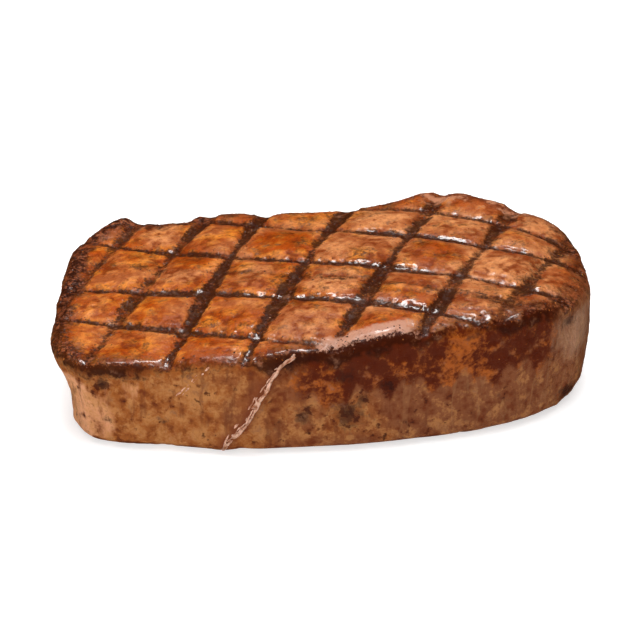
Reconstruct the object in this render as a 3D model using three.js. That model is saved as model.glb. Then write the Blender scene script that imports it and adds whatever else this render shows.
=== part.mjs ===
// A thick sirloin steak, grilled on bars and turned once, resting flat on its underside.
//
// It is one piece of meat and so one closed solid: a flat foot, a wall that leans in below,
// a rounded shoulder, and a crowned top with two sets of burnt-in bar marks, the second set
// pressed a quarter turn after the first. Millimetres, +Z up, +X along the steak to its
// thick end, -Y towards the side with the seam. The origin lies under the middle of the
// bounding box, on the surface that the steak rests on.

import * as THREE from "three";

const { smoothstep, clamp, lerp, degToRad } = THREE.MathUtils;

// ---- Driving dimensions, in millimetres ------------------------------------------------

const THIN_END = 24.6; // height of the shoulder at the narrow end, -X
const THICK_END = 35.1; // and at the broad end, +X
const THICKENING = { from: -72, to: 44 }; // the stretch of X that it thickens over
const TIP_DROP = { from: 54, to: 78, by: 3.5 }; // the broad end falls away again
const REAR_CORNER = { x: -60, y: 46, reach: 13, by: 1.4 }; // curled up by the heat
const REAR_HOLLOW = { x: -48, y: 47, reach: 8, by: 0.9 }; // and the dip beside it
const REAR_SAG = { x: 2, y: 48, reach: 24, by: 1.9 }; // the top slopes off in mid rear
const CROWN = { length: 152, width: 101, by: 2.6 }; // the middle of the top over its edge
const SHOULDER_RADIUS = 3.2; // rounded edge between the top and the wall
const FAT_ROLL = { x: 42, y: 41, along: 26, across: 7, by: 1.2, lump: 0.5 }; // rear right

const LEAN = { left: 4.6, right: 1.5, front: 1.2, rear: 4.0 }; // how far in the foot stands
const BELLY = { left: -2.5, right: 0.8, front: 0.6, rear: 0.8 }; // swell of the wall
const FOOT_RADIUS = { left: 3.4, right: 6.0, front: 3.0, rear: 5.0 };

// The bars of the grill, and what they pressed into the top.
const BARS = { pitch: 21.1, turn: -20.5 }; // spacing, and the way the long marks run
const MARK = { width: 4.2, depth: 1.1 };
const PILLOW = 0.5; // how far the meat swells up between four marks
// Each mark strays from the even spacing, as the meat shrank after it was pressed in:
// [shift, swing, bow] in millimetres, swing and bow as reached 50 mm from the middle.
const LONG_MARKS = {
  first: 42.0, // the rearmost one, measured across the marks
  step: -BARS.pitch,
  strays: [
    [-1.3, -3.0, -1.3],
    [0.5, -3.6, 3.5],
    [0.0, -1.8, 2.1],
    [0.5, 0.5, -1.0],
    [0.1, -1.4, 0.7],
  ],
};
const CROSS_MARKS = {
  first: -66.7, // the one nearest the narrow end
  step: BARS.pitch,
  strays: [
    [0.5, -1.5, 0.0],
    [-0.9, -1.8, 0.0],
    [-3.6, -4.6, 0.6],
    [-1.6, -2.4, 0.3],
    [1.0, -0.8, -0.2],
    [1.3, 1.0, 0.0],
    [-1.4, 2.3, 0.4],
  ],
};
const GHOST = { row: 2.47, from: -24, to: 20, depth: 0.4 }; // a bar that touched only lightly

// The seam of gristle that crosses the front wall, and the pit beside its upper end.
const SEAM = { foot: -27.2, top: -11.6, width: 2.4, proud: 0.9, groove: 0.9, apart: 4.0 };
const PIT = { x: -8.6, below: 4.5, radius: 3.2, depth: 1.4 };
const UNDERCUT = { x: -55.5, half: 8, below: 5.0, depth: 1.1 }; // below the front left edge
const GLAZE = { from: -6, to: 70, share: 0.48, proud: 0.5 }; // juice dried on the front wall
const CRAGS = 0.45; // roughness of the wall

const NET_CELLS = 10; // cells of the top between two marks
const SHOULDER_CELL = 2.4; // spacing of the vertices round the shoulder
const WALL_CELL = 2.7; // and round the wall

// The shoulder seen from above, counter-clockwise from the tip of the broad end.
const SHOULDER = [
  [74.2, -5.9],
  [73.9, 5.0],
  [72.8, 17.1],
  [68.6, 27.2],
  [59.4, 32.6],
  [49.2, 38.7],
  [39.4, 45.0],
  [32.3, 46.6], // the rearmost point of the fat roll
  [25.8, 45.2],
  [19.4, 43.3], // where the roll ends
  [5.4, 43.2],
  [-8.6, 44.6],
  [-22.6, 46.8],
  [-36.6, 49.2], // a torn step in the rear edge
  [-42.6, 45.6],
  [-50.0, 45.2], // the hollow beside it
  [-59.0, 48.6], // the curled rear corner
  [-66.0, 41.8],
  [-72.4, 31.0],
  [-73.8, 19.0],
  [-74.2, 3.0],
  [-74.2, -15.0],
  [-72.4, -32.3],
  [-66.1, -41.5],
  [-56.6, -45.5],
  [-43.6, -47.0],
  [-25.6, -49.5],
  [-5.6, -48.6],
  [13.4, -46.5],
  [29.4, -43.0],
  [45.4, -38.4],
  [59.4, -31.2],
  [70.2, -20.6],
];

// ---- Small helpers ---------------------------------------------------------------------

const bell = (distance) => Math.exp(-distance * distance);

// Slow rolling lumps between -1 and 1, as an uneven cut of meat has.
function lumps(x, y, z, wavelength) {
  const k = (2 * Math.PI) / wavelength;
  const first = Math.sin(k * (0.9 * x + 0.43 * y) + 1.1);
  const second = Math.sin(k * (1.13 * y - 0.35 * x + 0.5 * z) + 2.7);
  const third = Math.sin(k * (0.71 * x - 0.82 * y + 0.9 * z) + 4.2);
  return (first + second + third) / 3;
}

// A round rise on the top that fades out at its reach.
const swell = ({ x, y, reach, by }, p) => by * bell(Math.hypot(p.x - x, p.y - y) / reach);

// A size that differs between the four sides, blended by the way the wall faces there.
function bySide(sizes, normal) {
  const facingX = normal.x * normal.x;
  const alongX = normal.x < 0 ? sizes.left : sizes.right;
  const alongY = normal.y < 0 ? sizes.front : sizes.rear;
  return facingX * alongX + (1 - facingX) * alongY;
}

// ---- The bar marks, and a net over the top that follows them -----------------------------

const barAngle = degToRad(BARS.turn);
const alongBar = new THREE.Vector2(Math.cos(barAngle), Math.sin(barAngle));
const acrossBar = new THREE.Vector2(-alongBar.y, alongBar.x);

// Where a line of the net runs, t millimetres along it. Whole numbers are the marks, and
// fractions lie between two of them.
function lineLevel({ first, step, strays }, number, t) {
  const before = clamp(Math.floor(number), 0, strays.length - 2);
  const share = clamp(number - before, 0, 1);
  const blend = (i) => lerp(strays[before][i], strays[before + 1][i], share);
  return first + number * step + blend(0) + (blend(1) * t) / 50 + blend(2) * (t / 50) ** 2;
}

// The crossing of a long line and a cross line of the net, found in a few rounds.
function netPoint(row, column) {
  const p = new THREE.Vector2(0, 0);
  for (let round = 0; round < 6; round++) {
    const u = lineLevel(CROSS_MARKS, column, p.dot(acrossBar));
    const v = lineLevel(LONG_MARKS, row, p.dot(alongBar));
    p.set(0, 0).addScaledVector(alongBar, u).addScaledVector(acrossBar, v);
  }
  return p;
}

// What the bars add to the height: grooves along the marks, pillows between them.
function barRelief(p) {
  const u = p.dot(alongBar);
  const v = p.dot(acrossBar);
  const toLong = LONG_MARKS.strays.map((_, k) => Math.abs(v - lineLevel(LONG_MARKS, k, u)));
  const toCross = CROSS_MARKS.strays.map((_, k) => Math.abs(u - lineLevel(CROSS_MARKS, k, v)));
  const nearest = Math.min(...toLong, ...toCross);
  const groove = MARK.depth * bell(nearest / (MARK.width / 2));
  const pillow = PILLOW * smoothstep(nearest, 1.5, 8);
  const touched = smoothstep(u, GHOST.from, GHOST.from + 8) - smoothstep(u, GHOST.to - 8, GHOST.to);
  const ghost = touched * bell((v - lineLevel(LONG_MARKS, GHOST.row, u)) / 1.8);
  return pillow - groove - GHOST.depth * ghost;
}

// ---- The outline and the height of the top -----------------------------------------------

const outline = new THREE.CatmullRomCurve3(
  SHOULDER.map(([x, y]) => new THREE.Vector3(x, y, 0)),
  true,
  "centripetal",
);
outline.arcLengthDivisions = 800;
const perimeter = outline.getLength();

// The shoulder at a share of the way round, with the direction that faces outwards there.
function shoulderAt(share) {
  const point = outline.getPointAt(share);
  const tangent = outline.getTangentAt(share);
  return {
    point: new THREE.Vector2(point.x, point.y),
    normal: new THREE.Vector2(tangent.y, -tangent.x).normalize(),
  };
}

function topHeight(p) {
  const thickness = THICK_END - THIN_END;
  const thickened = thickness * smoothstep(p.x, THICKENING.from, THICKENING.to);
  const dropped = TIP_DROP.by * smoothstep(p.x, TIP_DROP.from, TIP_DROP.to);
  const curled = swell(REAR_CORNER, p) - swell(REAR_HOLLOW, p) - swell(REAR_SAG, p);
  const onRoll = bell((p.x - FAT_ROLL.x) / FAT_ROLL.along);
  const acrossRoll = bell((p.y + 0.45 * (p.x - FAT_ROLL.x) - FAT_ROLL.y) / FAT_ROLL.across);
  const rollLumps = FAT_ROLL.lump * lumps(p.x, p.y, 0, 12);
  const rolled = (FAT_ROLL.by + rollLumps) * onRoll * acrossRoll;
  const fromMiddle = Math.hypot((2 * p.x) / CROWN.length, (2 * p.y) / CROWN.width);
  const crowned = CROWN.by * (1 - Math.min(1, fromMiddle) ** 2);
  return THIN_END + thickened - dropped + curled + rolled + crowned + 0.3 * lumps(p.x, p.y, 0, 26);
}

// ---- The wall ---------------------------------------------------------------------------

// Where the seam is on the front wall, at a depth from 0 at the top to 1 at the foot.
const seamX = (depth) => SEAM.top + (SEAM.foot - SEAM.top) * depth;

// How far the wall stands out beyond its plain shape, at a point and the way it faces.
function wallRelief(point, normal, depth, rim) {
  const z = (rim - SHOULDER_RADIUS) * (1 - depth);
  const middle = smoothstep(z, 1, 6) * (1 - smoothstep(z, rim - 5, rim - 1));
  let out = CRAGS * middle * (lumps(point.x, point.y, z, 13) + lumps(point.y, point.x, 0, 9));
  if (normal.y > -0.6) return out;

  const fromSeam = point.x - seamX(depth);
  const groove = SEAM.groove * bell((fromSeam - SEAM.apart) / 2.2);
  out += SEAM.proud * bell(fromSeam / SEAM.width) - groove;
  const below = rim - z;
  out -= PIT.depth * bell(Math.hypot(point.x - PIT.x, below - PIT.below) / PIT.radius);
  const undercut = bell((point.x - UNDERCUT.x) / UNDERCUT.half);
  out -= UNDERCUT.depth * undercut * bell((below - UNDERCUT.below) / 2.2);
  const coated = smoothstep(point.x, GLAZE.from, GLAZE.from + 12);
  const drips = GLAZE.share + 0.1 * Math.sin(point.x * 0.45) + 0.05 * Math.sin(point.x * 1.1);
  const ends = coated * (1 - smoothstep(point.x, GLAZE.to - 10, GLAZE.to));
  const lower = rim * (1 - drips);
  return out + GLAZE.proud * ends * smoothstep(z, lower - 1.5, lower + 1.5) * middle;
}

// Around the seam the columns of vertices slant with it, so that it stays crisp.
function slant(share, depth) {
  const { point, normal } = shoulderAt(share);
  if (normal.y > -0.6) return share;
  const shift = (seamX(depth) - SEAM.top) * bell((point.x - SEAM.top) / 26);
  return share - shift / (perimeter * normal.y);
}

// The outline further down the wall, where the notches of the rear have smoothed out.
function outlineAt(share, depth) {
  const { point, normal } = shoulderAt(share);
  const rim = topHeight(point);
  const smoothing = depth * smoothstep(normal.y, 0, 0.5);
  for (const away of [0.008, 0.016, 0.024]) {
    for (const other of [share + away, share + 1 - away].map((s) => shoulderAt(s % 1))) {
      point.addScaledVector(other.point, smoothing);
      normal.addScaledVector(other.normal, smoothing);
    }
  }
  return { rim, point: point.divideScalar(1 + 6 * smoothing), normal: normal.normalize() };
}

// A point on the wall: depth 0 is under the shoulder, 1 is on the surface it rests on.
function wallPoint(share, depth) {
  const { rim, point, normal } = outlineAt(slant(share, depth), depth);
  const z = (rim - SHOULDER_RADIUS) * (1 - depth);
  const radius = bySide(FOOT_RADIUS, normal);
  const under = Math.max(0, radius - z);
  const rounding = radius - Math.sqrt(radius * radius - under * under);
  const belly = bySide(BELLY, normal) * Math.sin(Math.PI * depth);
  const relief = wallRelief(point, normal, depth, rim);
  const offset = belly + relief - bySide(LEAN, normal) * depth - rounding;
  const p = point.addScaledVector(normal, offset);
  return new THREE.Vector3(p.x, p.y, z);
}

// A point on the rounded shoulder, at an angle from 0 on the top to 90 degrees on the wall.
function shoulderPoint(share, angle) {
  const { point, normal } = shoulderAt(share);
  const turn = degToRad(angle);
  const height = topHeight(point) - SHOULDER_RADIUS * (1 - Math.cos(turn));
  const p = point.addScaledVector(normal, -SHOULDER_RADIUS * (1 - Math.sin(turn)));
  return new THREE.Vector3(p.x, p.y, height + barRelief(p) * Math.cos(turn));
}

// ---- Points and triangles, counter-clockwise seen from outside ---------------------------

const positions = [];
const faces = [];

function addPoint({ x, y, z }) {
  positions.push(x, y, z);
  return positions.length / 3 - 1;
}

function addRing(cell, place) {
  const count = Math.round(perimeter / cell);
  return Array.from({ length: count }, (_, i) => addPoint(place(i / count)));
}

// Joins two rings with a band of triangles, each time across the shorter diagonal.
function stitch(outer, inner) {
  const corner = (vertex) => new THREE.Vector3().fromArray(positions, 3 * vertex);
  const between = (a, b) => corner(a).distanceTo(corner(b));
  let i = 0;
  let j = 0;
  while (i < outer.length || j < inner.length) {
    const a = outer[i % outer.length];
    const b = inner[j % inner.length];
    const nextA = outer[(i + 1) % outer.length];
    const nextB = inner[(j + 1) % inner.length];
    const outerSteps = i < outer.length && between(nextA, b) <= between(a, nextB);
    if (outerSteps || j === inner.length) {
      faces.push(a, nextA, b);
      i += 1;
    } else {
      faces.push(a, nextB, b);
      j += 1;
    }
  }
}

// ---- The top ------------------------------------------------------------------------------

function topPoint(p) {
  return new THREE.Vector3(p.x, p.y, topHeight(p) + barRelief(p));
}

const rim = addRing(SHOULDER_CELL, (share) => shoulderPoint(share, 0));
const flat = (vertex) => new THREE.Vector2(positions[3 * vertex], positions[3 * vertex + 1]);
const rimPoints = rim.map(flat);

// Whether p lies inside the rim, at least a margin away from it.
function insideRim(p, margin) {
  let inside = false;
  rimPoints.forEach((a, i) => {
    const b = rimPoints.at(i - 1);
    const crossing = a.x + ((p.y - a.y) * (b.x - a.x)) / (b.y - a.y);
    if (a.y > p.y !== b.y > p.y && p.x < crossing) inside = !inside;
  });
  return inside && rimPoints.every((a) => a.distanceTo(p) >= margin);
}

// The crossings of the net that fall inside the rim become vertices.
const net = [];
const netColumns = (CROSS_MARKS.strays.length + 1) * NET_CELLS;
const netRows = (LONG_MARKS.strays.length + 1) * NET_CELLS;
for (let j = 0; j <= netColumns; j++) {
  net.push([]);
  for (let i = 0; i <= netRows; i++) {
    const p = netPoint(i / NET_CELLS - 1, j / NET_CELLS - 1);
    net[j].push(insideRim(p, 1.7) ? addPoint(topPoint(p)) : -1);
  }
}

// Each whole cell of the net is two triangles, parted along its more level diagonal.
const heightOf = (vertex) => positions[3 * vertex + 2];
const openEdges = new Map();
for (let j = 0; j < netColumns; j++) {
  for (let i = 0; i < netRows; i++) {
    const cell = [net[j][i], net[j][i + 1], net[j + 1][i + 1], net[j + 1][i]];
    if (cell.includes(-1)) continue;
    const [a, b, c, d] = cell;
    const level = Math.abs(heightOf(a) - heightOf(c)) < Math.abs(heightOf(b) - heightOf(d));
    faces.push(...(level ? [a, b, c, a, c, d] : [a, b, d, b, c, d]));
    cell.forEach((from, k) => {
      const to = cell[(k + 1) % 4];
      if (!openEdges.delete(`${to},${from}`)) openEdges.set(`${from},${to}`, [from, to]);
    });
  }
}

// What is left of the edges is the stepped border of the net. It is walked once round from
// the tip of the broad end, and the band between it and the rim is filled.
const following = new Map(openEdges.values());
const tip = rimPoints[0];
const toTip = (vertex) => flat(vertex).distanceTo(tip);
const border = [[...following.keys()].reduce((a, b) => (toTip(b) < toTip(a) ? b : a))];
while (following.get(border.at(-1)) !== border[0]) border.push(following.get(border.at(-1)));
stitch(rim, border);

// ---- From the rim over the shoulder and down the wall to the foot -------------------------

const bands = [rim];
for (const angle of [35, 65]) {
  bands.push(addRing(SHOULDER_CELL, (share) => shoulderPoint(share, angle)));
}
for (const depth of [0, 0.1, 0.2, 0.3, 0.4, 0.5, 0.6, 0.7, 0.8, 0.88, 0.95, 1]) {
  bands.push(addRing(WALL_CELL, (share) => wallPoint(share, depth)));
}
for (let k = 1; k < bands.length; k++) stitch(bands[k], bands[k - 1]);

const foot = bands.at(-1);
for (const [a, b, c] of THREE.ShapeUtils.triangulateShape(foot.map(flat), [])) {
  faces.push(foot[a], foot[c], foot[b]);
}

const geometry = new THREE.BufferGeometry();
geometry.setAttribute("position", new THREE.Float32BufferAttribute(positions, 3));
geometry.setIndex(faces);
geometry.computeBoundingBox();
const { min, max } = geometry.boundingBox;
geometry.translate(-(min.x + max.x) / 2, -(min.y + max.y) / 2, 0);
geometry.computeVertexNormals();

// ---- The one node --------------------------------------------------------------------------

const seared = new THREE.MeshStandardMaterial({ color: 0xa8622f, roughness: 0.4, metalness: 0 });
const steak = new THREE.Mesh(geometry, seared);
steak.name = "steak";

const group = new THREE.Group();
group.add(steak);

export default group;
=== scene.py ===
# %% [markdown]
# # A thick grilled steak, from a plain solid to something to eat
#
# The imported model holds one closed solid, `steak`: a slab of meat with a flat foot, a leaning
# wall, a rounded shoulder and two sets of shallow bar marks across its top. This lesson keeps
# that form and finishes it. The meat gets its grain, its crust and its burnt marks, then the
# small things that lie on it: crumbs of char, beads of fat and a seam of gristle.

import math

import bmesh
import bpy
import numpy as np
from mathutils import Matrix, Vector
from mathutils.kdtree import KDTree


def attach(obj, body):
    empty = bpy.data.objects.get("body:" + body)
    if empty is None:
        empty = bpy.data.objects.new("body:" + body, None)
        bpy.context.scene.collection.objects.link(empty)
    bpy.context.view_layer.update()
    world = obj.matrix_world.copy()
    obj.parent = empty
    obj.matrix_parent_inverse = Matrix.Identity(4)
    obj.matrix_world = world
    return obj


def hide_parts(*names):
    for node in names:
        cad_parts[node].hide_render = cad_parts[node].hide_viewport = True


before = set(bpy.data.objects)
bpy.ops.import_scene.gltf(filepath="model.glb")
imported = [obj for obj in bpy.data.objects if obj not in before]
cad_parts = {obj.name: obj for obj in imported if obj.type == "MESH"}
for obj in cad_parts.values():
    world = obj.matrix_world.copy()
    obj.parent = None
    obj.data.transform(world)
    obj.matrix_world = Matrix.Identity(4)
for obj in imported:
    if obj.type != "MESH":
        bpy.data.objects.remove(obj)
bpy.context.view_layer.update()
MM = 0.001
PER_MM = (1 / MM, 1 / MM, 1 / MM)  # turns a place in metres into millimetres
FAR = 90  # millimetres from the middle, outside the steak on every side
scene = bpy.context.scene

# %% [markdown]
# ## The view
#
# A product photograph of food is taken from a little above the table, with a long lens so
# that the near end doesn't swell up. The steak looks flat-fronted and only slightly narrower
# at its far side, which fits a lens of 135 mm about 0.7 m away, looking down by 27 degrees.
# The camera comes first, because every later choice is judged through it.

# %% The camera
LOOK_DOWN = math.radians(27)
AIM = Vector((-0.70, 3.94, 14.0)) * MM
AWAY = 680 * MM

lens = bpy.data.cameras.new("camera")
lens.lens = 135
lens.sensor_width = 36
camera = bpy.data.objects.new("camera", lens)
camera.location = AIM + Vector((0, -math.cos(LOOK_DOWN), math.sin(LOOK_DOWN))) * AWAY
camera.rotation_euler = (math.pi / 2 - LOOK_DOWN, 0, 0)
scene.collection.objects.link(camera)
scene.camera = camera
print("camera at", [round(v, 3) for v in camera.location])

# %% [markdown]
# ## Small tools
#
# Colours are written as the hex values that a colour picker shows. Blender's shaders count in
# linear light, so one function turns them round. Node trees are built by hand here, so a
# second function adds a node with its settings and its links. The others run a geometry tree
# on an object and keep the result as a plain mesh, and move numbers in and out of meshes.

# %% Colours and nodes
def linear(hex_value):
    """A colour as picked on a screen, such as C8743A, in the linear light of the shaders."""
    parts = [int(hex_value[i : i + 2], 16) / 255 for i in (0, 2, 4)]
    return (*[c / 12.92 if c <= 0.04045 else ((c + 0.055) / 1.055) ** 2.4 for c in parts], 1)


def add(tree, kind, feeds=(), **settings):
    """Adds a node, sets it up, and feeds its inputs with values, hex colours or other nodes."""
    node = tree.nodes.new(kind)
    for name, value in settings.items():
        setattr(node, name, value)
    shown = [socket for socket in node.inputs if socket.enabled]
    named = {socket.name: socket for socket in reversed(shown)}
    for key, value in feeds.items() if isinstance(feeds, dict) else enumerate(feeds):
        socket = named[key] if isinstance(key, str) else shown[key]
        if isinstance(value, bpy.types.Node):
            value = next(s for s in value.outputs if s.enabled)
        if isinstance(value, bpy.types.NodeSocket):
            tree.links.new(value, socket)
        elif value is not None:
            socket.default_value = linear(value) if socket.type == "RGBA" else value
    return node


# Settings that come up again and again. A map range is fed with a value, the range it is
# looked for in, and what the two ends of that range become, which is 0 and 1 if not said.
EASE = dict(interpolation_type="SMOOTHSTEP")
FROM_SEED = dict(noise_dimensions="4D")
TIMES = dict(operation="MULTIPLY")
PLUS = dict(operation="ADD")
MINUS = dict(operation="SUBTRACT")
SHARE = dict(operation="MULTIPLY_ADD")  # first times second plus third
FLOAT = dict(data_type="FLOAT")
COLOUR = dict(data_type="RGBA")
print("C8743A in linear light:", [round(v, 3) for v in linear("C8743A")])

# %% Geometry trees and plain meshes
SOCKETS = {float: "NodeSocketFloat", int: "NodeSocketInt", str: "NodeSocketObject"}


def new_tree(name, **inputs):
    """A geometry tree with named inputs, and its first and last nodes."""
    tree = bpy.data.node_groups.new(name, "GeometryNodeTree")
    tree.interface.new_socket("Geometry", in_out="INPUT", socket_type="NodeSocketGeometry")
    tree.interface.new_socket("Geometry", in_out="OUTPUT", socket_type="NodeSocketGeometry")
    for label, value in inputs.items():
        kind = SOCKETS.get(type(value), "NodeSocketMaterial")
        socket = tree.interface.new_socket(label, in_out="INPUT", socket_type=kind)
        if type(value) in (float, int):
            socket.default_value = value
    return tree, tree.nodes.new("NodeGroupInput").outputs, tree.nodes.new("NodeGroupOutput")


def plain(source, name):
    """The object as its modifiers leave it, as a new object without any."""
    view = source.evaluated_get(bpy.context.evaluated_depsgraph_get())
    made = bpy.data.objects.new(name, bpy.data.meshes.new_from_object(view))
    made.data.name = name
    scene.collection.objects.link(made)
    return made


def run_tree(tree, source, name, **values):
    """Runs a geometry tree on an object and returns the result as a new plain object."""
    modifier = source.modifiers.new(tree.name, "NODES")
    modifier.node_group = tree
    for item in tree.interface.items_tree:
        if item.in_out == "INPUT" and item.name in values:
            modifier[item.identifier] = values[item.name]
    source.update_tag()
    made = plain(source, name)
    source.modifiers.remove(modifier)
    return made


def set_aside(*objects):
    """Takes helper objects out of the scene once they have done their work."""
    for item in objects:
        bpy.data.objects.remove(item, do_unlink=True)


print("tree tools ready")

# %% Numbers in and out of a mesh
def numbers(data, what, width=3):
    """The numbers of a mesh layer as an array, with one row for each item."""
    found = np.empty(len(data) * width, np.float32)
    data.foreach_get(what, found)
    return found.reshape(-1, width) if width > 1 else found


def layer(target, name, values=None):
    """Stores one number for each vertex under a name, or reads what is stored there."""
    found = target.data.attributes.get(name)
    if values is None:
        return numbers(found.data, "value", 1)
    found = found or target.data.attributes.new(name, "FLOAT", "POINT")
    found.data.foreach_set("value", np.ascontiguousarray(values, np.float32))


def eased(value, low, high):
    """0 below low, 1 above high, and a soft step between them."""
    share = np.clip((value - low) / (high - low), 0, 1)
    return share * share * (3 - 2 * share)


print("number tools ready")

# %% [markdown]
# ## The cut of meat
#
# The CAD solid has flat facets of about 2 mm, and meat has none. Sculpting would work, but
# it would drift away from the measured form. So the solid itself is the start: its facets are
# rounded by subdivision, and a voxel remesh turns it into an even skin of small squares, on
# which every later dent has the same chance to show. A square of 0.6 mm is about two dots
# of the picture. The underside is hidden, so it keeps fewer faces.

# %% A fine, even skin over the solid
SKIN = 0.6 * MM

raw = bpy.data.meshes.new("raw_cut")
build = bmesh.new()
build.from_mesh(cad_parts["steak"].data)
bmesh.ops.remove_doubles(build, verts=build.verts, dist=0.001 * MM)
bmesh.ops.recalc_face_normals(build, faces=build.faces)
build.to_mesh(raw)
build.free()
raw.materials.clear()
cut = bpy.data.objects.new("raw_cut", raw)
scene.collection.objects.link(cut)

rounded = cut.modifiers.new("round_facets", "SUBSURF")
rounded.levels = rounded.render_levels = 2
even = cut.modifiers.new("even_skin", "REMESH")
even.mode = "VOXEL"
even.voxel_size = SKIN
settled = cut.modifiers.new("settle", "SMOOTH")
settled.factor = 0.5
settled.iterations = 4
skin = plain(cut, "skin")
set_aside(cut)
print("even skin:", len(skin.data.vertices), "vertices")

# %% Fewer faces on the underside
UNDERSIDE_TRIANGLES = 9000
NEAR_TABLE = 0.3 * MM
FACES_DOWN = -0.9

points = numbers(skin.data.vertices, "co")
facing = numbers(skin.data.vertex_normals, "vector")
under = np.flatnonzero((points[:, 2] < NEAR_TABLE) & (facing[:, 2] < FACES_DOWN))
skin.vertex_groups.new(name="underside").add(under.tolist(), 1.0, "REPLACE")
triangles = sum(len(face.vertices) - 2 for face in skin.data.polygons)
fewer = skin.modifiers.new("fewer_below", "DECIMATE")
fewer.ratio = 1 - (2 * len(under) - UNDERSIDE_TRIANGLES) / triangles
fewer.vertex_group = "underside"
meat = plain(skin, "meat")
set_aside(skin)
meat.vertex_groups.clear()
triangles = sum(len(face.vertices) - 2 for face in meat.data.polygons)
print("meat:", triangles, "triangles")

# %% [markdown]
# ## Where a point of the surface lies
#
# Crust, juice and char all depend on how far a point is from the edge of the top: a positive
# number of millimetres in on the top, a negative one down the wall. The edge is the line on
# which the surface is half turned over. It is found on the skin itself, so it can't miss.

# %% The distance from the edge of the top
HALF_TURNED = 0.7
LOWEST_EDGE = 12 * MM
SIDEWAYS_COUNTS = 0.3  # against one for a step down the wall

points = numbers(meat.data.vertices, "co")
facing = numbers(meat.data.vertex_normals, "vector")
ends = np.empty(len(meat.data.edges) * 2, np.int32)
meat.data.edges.foreach_get("vertices", ends)
ends = ends.reshape(-1, 2)
turned = facing[:, 2] > HALF_TURNED
crossing = (turned[ends[:, 0]] != turned[ends[:, 1]]) & (points[ends[:, 0], 2] > LOWEST_EDGE)
edge_line = points[ends[crossing]].mean(1)
finder = KDTree(len(edge_line))
for i, (x, y, _) in enumerate(edge_line):
    finder.insert((x, y, 0), i)
finder.balance()
nearest = [finder.find((x, y, 0))[1:] for x, y, _ in points]
beside = np.array([found[1] for found in nearest])
drop = edge_line[[found[0] for found in nearest], 2] - points[:, 2]
from_edge = np.where(turned, beside, -np.maximum(drop, beside * SIDEWAYS_COUNTS)) / MM
layer(meat, "from_edge", from_edge)
print("edge line:", len(edge_line), "points; wall", round(float(-from_edge.min()), 1), "mm deep")

# %% [markdown]
# ## The bars of the grill
#
# Grill bars are straight and evenly spaced, and the steak lay on them twice, a quarter turn
# apart. The marks that stay are not quite so even, because the meat shrank and moved after
# each was burnt in. So each mark is a line of the even pattern that strays by a few
# millimetres, and bends a little. Its two last numbers say how hard it was pressed at its
# two ends. The lines are only a guide, and are taken away at the end.

# %% The lines that the bars left
BAR_TURN = math.radians(-20.5)
BAR_PITCH = 21.1
CENTRING = np.array((-0.061, 0.810))  # from the middle of the pattern to the middle of the box
# Level, then shift, swing and bow in millimetres, then the pressure at both ends of the line.
LONG_MARKS = [
    (42.0, (-1.3, -3.0, -1.3), (0.4, 0.85)),
    (20.9, (0.5, -3.6, 3.5), (0.75, 0.95)),
    (-0.2, (0.0, -1.8, 2.1), (0.9, 0.9)),
    (-9.9, (0.2, -0.7, 0.6), (0.32, 0.45)),  # a bar that touched only lightly
    (-21.3, (0.5, 0.5, -1.0), (0.9, 1.0)),
    (-42.4, (0.1, -1.4, 0.7), (0.95, 0.7)),
]
CROSS_MARKS = [
    (-66.7, (0.5, -1.5, 0.0), (0.6, 1.0)),
    (-45.6, (-0.9, -1.8, 0.0), (0.7, 0.8)),
    (-24.5, (-3.6, -4.6, 0.6), (1.0, 1.0)),
    (-3.4, (-1.6, -2.4, 0.3), (0.85, 1.0)),
    (17.7, (1.0, -0.8, -0.2), (1.0, 0.75)),
    (38.8, (1.3, 1.0, 0.0), (1.0, 0.7)),
    (59.9, (-1.4, 2.3, 0.4), (0.8, 0.55)),
]
BELOW_MARKS = [(10.5 + BAR_PITCH * k, (0.0, 0.0, 0.0), (0.8, 0.9)) for k in range(-3, 3)]


def strayed(level, stray, run):
    """How far sideways a mark lies, in mm, where it has run this far along its bar."""
    shift, swing, bow = stray
    return level + shift + swing * run / 50 + bow * (run / 50) ** 2


def bar_lines(name, marks, turn, half_width):
    """Guide lines on the table, one for each mark, with a point every millimetre."""
    along = np.array((math.cos(turn), math.sin(turn)))
    across = np.array((-along[1], along[0]))
    run = np.arange(-FAR, FAR + 1, 1.0)
    spots, links, pressure, widths = [], [], [], []
    for level, stray, (first, last) in marks:
        off = strayed(level, stray, run)
        flat = run[:, None] * along + off[:, None] * across + CENTRING
        links += [(len(spots) + i, len(spots) + i + 1) for i in range(len(run) - 1)]
        spots += [(x * MM, y * MM, 0) for x, y in flat]
        # Meat is lumpy, so it pressed harder and wider on the bar in some places than in others.
        lumpy = np.sin(run / 6.3 + level) * np.sin(run / 11.7 + 2 * level)
        share = np.clip(run / 100 + 0.5, 0, 1)
        pressure += list((first + (last - first) * share) * (0.9 + 0.25 * lumpy))
        widths += list(half_width * (1 + 0.35 * np.sin(run / 8.9 + 3 * level)) * MM)
    mesh = bpy.data.meshes.new(name)
    mesh.from_pydata(spots, links, [])
    guide = bpy.data.objects.new(name, mesh)
    scene.collection.objects.link(guide)
    layer(guide, "pressure", pressure)
    layer(guide, "half_width", widths)
    return guide


long_bars = bar_lines("long_bars", LONG_MARKS, BAR_TURN, half_width=1.4)
# Turned by a quarter, sideways counts the other way round, so every level changes its sign.
turned_marks = [(-level, [-v for v in stray], force) for level, stray, force in CROSS_MARKS]
cross_bars = bar_lines("cross_bars", turned_marks, BAR_TURN + math.pi / 2, half_width=1.9)
bars_below = bar_lines("bars_below", BELOW_MARKS, BAR_TURN + 0.2, half_width=1.6)
print("guide lines:", len(LONG_MARKS), "long and", len(CROSS_MARKS), "across")

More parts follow.
